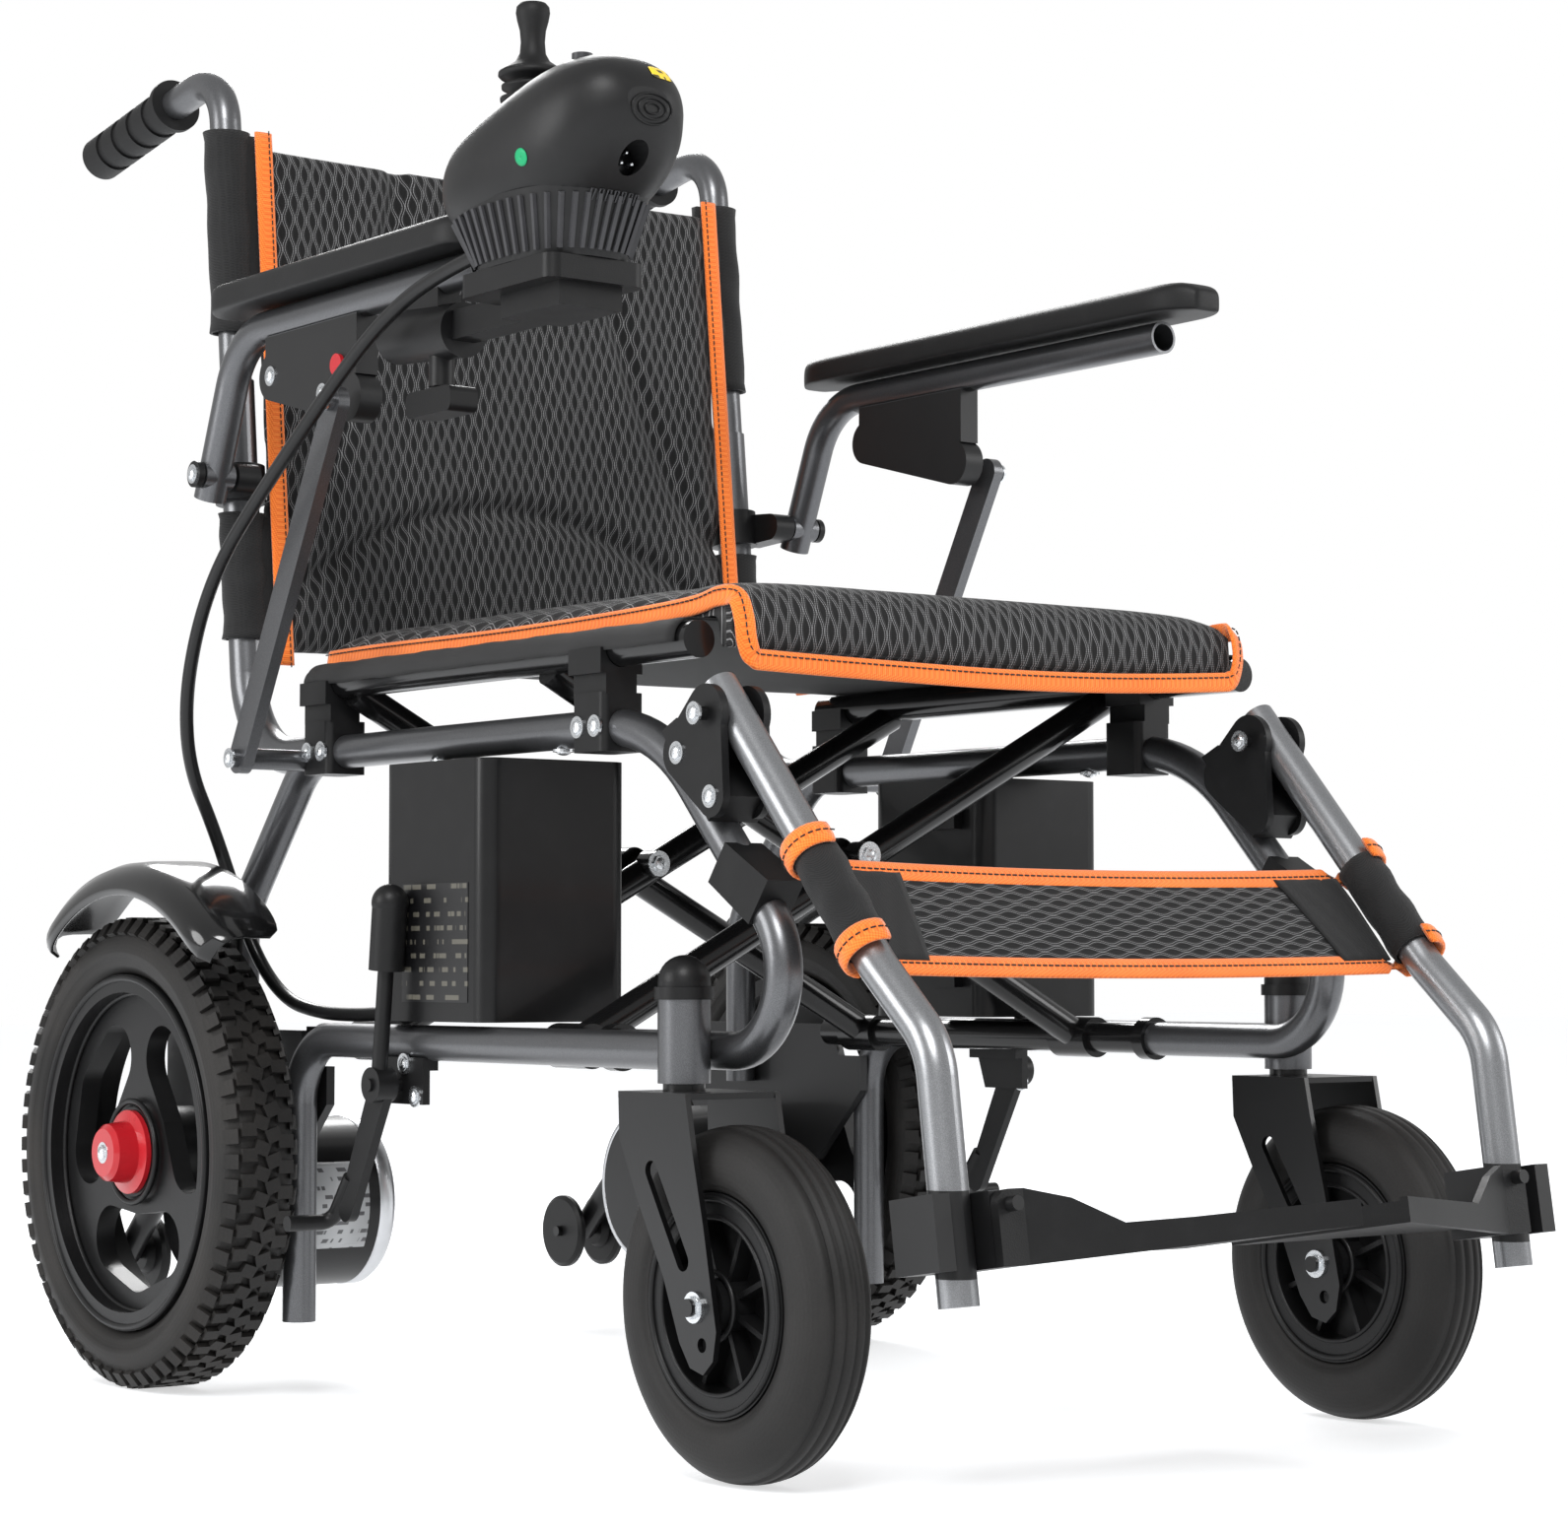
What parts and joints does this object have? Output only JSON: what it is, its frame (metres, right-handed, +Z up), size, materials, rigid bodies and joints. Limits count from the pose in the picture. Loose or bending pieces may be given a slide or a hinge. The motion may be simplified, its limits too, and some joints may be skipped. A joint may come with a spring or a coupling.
{
  "type": "power wheelchair",
  "caption": "Folding power wheelchair with crossed-brace tube frame, joystick controller, padded sling seat and back, flip-back armrests, swing-up footrests, drive wheels and casters.",
  "frame": {"origin": "on the floor in the middle of the chair's outline", "axes": "+Z up; front towards -Y; +X towards the sitter's left; long way along Y and narrow way along X"},
  "size_m": [0.636, 1.0942, 0.9216],
  "materials": {
    "gunmetal": "satin metallic paint",
    "silver_tube": "satin metallic paint",
    "black_paint": "gloss paint",
    "black_plastic": "fine grain",
    "guard_plastic": "polished",
    "motor_case": "satin paint",
    "grip_rubber": "matt",
    "pad_plastic": "soft grain",
    "tyre_rubber": "moulded",
    "red_plastic": "gloss",
    "button_plastic": "gloss",
    "mesh_cloth": "spacer mesh",
    "sling_cloth": "woven nylon",
    "cable_jacket": "smooth"
  },
  "bodies": {
    "right_frame": {"side_frame_right": "gunmetal", "back_cane_right": "gunmetal", "push_grip_right": "grip_rubber", "frame_fittings_right": "black_plastic", "brace_rail_right": "black_paint", "battery_box_right": "black_plastic", "drive_motor_right": "motor_case", "mudguard_right": "guard_plastic", "back_upholstery": "mesh_cloth", "controller_cable": "cable_jacket"},
    "left_frame": {"side_frame_left": "gunmetal", "back_cane_left": "gunmetal", "push_grip_left": "grip_rubber", "frame_fittings_left": "black_plastic", "brace_rail_left": "black_paint", "battery_box_left": "black_plastic", "drive_motor_left": "motor_case", "mudguard_left": "guard_plastic"},
    "cross_a": {"cross_brace_a": "black_paint"},
    "cross_b": {"cross_brace_b": "black_paint"},
    "seat": {"seat_sling": "sling_cloth", "seat_cushion": "mesh_cloth"},
    "right_drive_wheel": {"drive_tyre_right": "tyre_rubber", "drive_rim_right": "black_plastic"},
    "right_clutch_knob": {"clutch_knob_right": "red_plastic"},
    "right_caster_fork": {"caster_fork_right": "black_paint"},
    "right_caster_wheel": {"caster_rim_right": "black_plastic", "caster_tyre_right": "tyre_rubber"},
    "right_anti_tip_wheel": {"anti_tip_wheel_right": "black_plastic"},
    "right_hanger": {"footrest_tube_right": "silver_tube", "calf_strap": "mesh_cloth"},
    "right_footplate": {"footplate_right": "black_plastic"},
    "right_armrest": {"armrest_tube_right": "gunmetal", "armrest_pad_right": "pad_plastic", "controller_mount": "black_plastic"},
    "right_armrest_button": {"armrest_button_right": "red_plastic"},
    "right_strut": {"armrest_strut_right": "gunmetal"},
    "right_brake": {"brake_lever_right": "grip_rubber"},
    "left_drive_wheel": {"drive_tyre_left": "tyre_rubber", "drive_rim_left": "black_plastic"},
    "left_clutch_knob": {"clutch_knob_left": "red_plastic"},
    "left_caster_fork": {"caster_fork_left": "black_paint"},
    "left_caster_wheel": {"caster_rim_left": "black_plastic", "caster_tyre_left": "tyre_rubber"},
    "left_anti_tip_wheel": {"anti_tip_wheel_left": "black_plastic"},
    "left_hanger": {"footrest_tube_left": "silver_tube"},
    "left_footplate": {"footplate_left": "black_plastic"},
    "left_armrest": {"armrest_tube_left": "gunmetal", "armrest_pad_left": "pad_plastic"},
    "left_armrest_button": {"armrest_button_left": "red_plastic"},
    "left_strut": {"armrest_strut_left": "gunmetal"},
    "left_brake": {"brake_lever_left": "grip_rubber"},
    "controller": {"controller_rod": "black_paint", "controller_shell": "black_plastic"},
    "clamp_screw": {"clamp_knob": "black_plastic"},
    "stick_cradle": {"joystick_gimbal": "black_plastic"},
    "stick": {"joystick": "grip_rubber"},
    "power_key": {"power_button": "button_plastic"},
    "horn_key": {"horn_button": "button_plastic"}
  },
  "joints": [
    {"name": "fold", "type": "hinge", "parent": "right_frame", "child": "cross_a", "pos_m": [-0.213, 0.02382, 0.235], "axis": [0, -1, 0], "range_deg": [0, 33], "deforming": ["seat_cushion", "seat_sling", "back_upholstery", "calf_strap"]},
    {"name": "fold_centre", "type": "hinge", "parent": "cross_a", "child": "cross_b", "pos_m": [0, 0.02382, 0.3525], "axis": [0, -1, 0], "range_deg": [-66, 0]},
    {"name": "fold_left", "type": "hinge", "parent": "cross_b", "child": "left_frame", "pos_m": [0.213, 0.02382, 0.235], "axis": [0, -1, 0], "range_deg": [0, 33]},
    {"name": "seat_level", "type": "hinge", "parent": "cross_a", "child": "seat", "pos_m": [0.215, 0.02382, 0.47], "axis": [0, -1, 0], "range_deg": [-33, 0]},
    {"name": "right_drive_spin", "type": "hinge", "parent": "right_frame", "child": "right_drive_wheel", "pos_m": [-0.28, 0.31682, 0.158], "axis": [1, 0, 0], "continuous": true},
    {"name": "right_clutch_slide", "type": "slide", "parent": "right_drive_wheel", "child": "right_clutch_knob", "axis": [-1, 0, 0], "range_m": [0, 0.008]},
    {"name": "right_caster_swivel", "type": "hinge", "parent": "right_frame", "child": "right_caster_fork", "pos_m": [-0.238, -0.23818, 0.2], "axis": [0, 0, 1], "continuous": true},
    {"name": "right_caster_spin", "type": "hinge", "parent": "right_caster_fork", "child": "right_caster_wheel", "pos_m": [-0.238, -0.29418, 0.098], "axis": [1, 0, 0], "continuous": true},
    {"name": "right_anti_tip_spin", "type": "hinge", "parent": "right_frame", "child": "right_anti_tip_wheel", "pos_m": [-0.2, 0.50982, 0.073], "axis": [1, 0, 0], "continuous": true},
    {"name": "right_hanger_swing", "type": "hinge", "parent": "right_frame", "child": "right_hanger", "pos_m": [-0.213, -0.24618, 0.425], "axis": [-1, 0, 0], "range_deg": [0, 75]},
    {"name": "right_footplate_flip", "type": "hinge", "parent": "right_hanger", "child": "right_footplate", "pos_m": [-0.194, -0.44127, 0.15593], "axis": [0, -0.9885, 0.1513], "range_deg": [0, 90]},
    {"name": "right_armrest_flip", "type": "hinge", "parent": "right_frame", "child": "right_armrest", "pos_m": [-0.251, 0.29182, 0.616], "axis": [-1, 0, 0], "range_deg": [0, 89], "deforming": ["controller_cable"]},
    {"name": "right_armrest_button_press", "type": "slide", "parent": "right_armrest", "child": "right_armrest_button", "axis": [1, 0, 0], "range_m": [0, 0.002], "stiffness_N_per_m": 400},
    {"name": "right_strut_fold", "type": "hinge", "parent": "right_frame", "child": "right_strut", "pos_m": [-0.272, 0.21382, 0.419], "axis": [-1, 0, 0], "range_deg": [0, 24]},
    {"name": "right_brake_lever", "type": "hinge", "parent": "right_frame", "child": "right_brake", "pos_m": [-0.262, 0.05382, 0.209], "axis": [1, 0, 0], "range_deg": [0, 24]},
    {"name": "left_drive_spin", "type": "hinge", "parent": "left_frame", "child": "left_drive_wheel", "pos_m": [0.28, 0.31682, 0.158], "axis": [1, 0, 0], "continuous": true},
    {"name": "left_clutch_slide", "type": "slide", "parent": "left_drive_wheel", "child": "left_clutch_knob", "axis": [1, 0, 0], "range_m": [0, 0.008]},
    {"name": "left_caster_swivel", "type": "hinge", "parent": "left_frame", "child": "left_caster_fork", "pos_m": [0.238, -0.23818, 0.2], "axis": [0, 0, 1], "continuous": true},
    {"name": "left_caster_spin", "type": "hinge", "parent": "left_caster_fork", "child": "left_caster_wheel", "pos_m": [0.238, -0.29418, 0.098], "axis": [1, 0, 0], "continuous": true},
    {"name": "left_anti_tip_spin", "type": "hinge", "parent": "left_frame", "child": "left_anti_tip_wheel", "pos_m": [0.2, 0.50982, 0.073], "axis": [1, 0, 0], "continuous": true},
    {"name": "left_hanger_swing", "type": "hinge", "parent": "left_frame", "child": "left_hanger", "pos_m": [0.213, -0.24618, 0.425], "axis": [-1, 0, 0], "range_deg": [0, 75]},
    {"name": "left_footplate_flip", "type": "hinge", "parent": "left_hanger", "child": "left_footplate", "pos_m": [0.194, -0.44127, 0.15593], "axis": [0, 0.9885, -0.1513], "range_deg": [0, 90]},
    {"name": "left_armrest_flip", "type": "hinge", "parent": "left_frame", "child": "left_armrest", "pos_m": [0.251, 0.29182, 0.616], "axis": [-1, 0, 0], "range_deg": [0, 89]},
    {"name": "left_armrest_button_press", "type": "slide", "parent": "left_armrest", "child": "left_armrest_button", "axis": [-1, 0, 0], "range_m": [0, 0.002], "stiffness_N_per_m": 400},
    {"name": "left_strut_fold", "type": "hinge", "parent": "left_frame", "child": "left_strut", "pos_m": [0.272, 0.21382, 0.419], "axis": [-1, 0, 0], "range_deg": [0, 24]},
    {"name": "left_brake_lever", "type": "hinge", "parent": "left_frame", "child": "left_brake", "pos_m": [0.262, 0.05382, 0.209], "axis": [1, 0, 0], "range_deg": [0, 24]},
    {"name": "controller_reach", "type": "slide", "parent": "right_armrest", "child": "controller", "axis": [0, -1, 0], "range_m": [0, 0.03]},
    {"name": "clamp_turn", "type": "hinge", "parent": "right_armrest", "child": "clamp_screw", "pos_m": [-0.251, 0.00182, 0.65], "axis": [0, 0, 1], "continuous": true},
    {"name": "stick_fore_aft", "type": "hinge", "parent": "controller", "child": "stick_cradle", "pos_m": [-0.262, -0.11618, 0.776], "axis": [1, 0, 0], "range_deg": [-18, 18], "stiffness_Nm_per_rad": 0.4},
    {"name": "stick_sideways", "type": "hinge", "parent": "stick_cradle", "child": "stick", "pos_m": [-0.262, -0.11618, 0.776], "axis": [0, 1, 0], "range_deg": [-18, 18], "stiffness_Nm_per_rad": 0.4},
    {"name": "power_press", "type": "slide", "parent": "controller", "child": "power_key", "axis": [0, 0, -1], "range_m": [0, 0.002], "stiffness_N_per_m": 400},
    {"name": "horn_press", "type": "slide", "parent": "controller", "child": "horn_key", "axis": [0, 0, -1], "range_m": [0, 0.002], "stiffness_N_per_m": 400}
  ],
  "couplings": [
    {"joint": "fold_centre", "follows": "fold", "ratio": -2},
    {"joint": "fold_left", "follows": "fold", "ratio": 1},
    {"joint": "seat_level", "follows": "fold", "ratio": -1},
    {"joint": "right_footplate_flip", "follows": "fold", "ratio": 2.7273},
    {"joint": "right_strut_fold", "follows": "right_armrest_flip", "ratio": 0.25},
    {"joint": "left_footplate_flip", "follows": "fold", "ratio": 2.7273},
    {"joint": "left_strut_fold", "follows": "left_armrest_flip", "ratio": 0.25},
    {"joint": "left_hanger_swing", "follows": "right_hanger_swing", "ratio": 1}
  ]
}
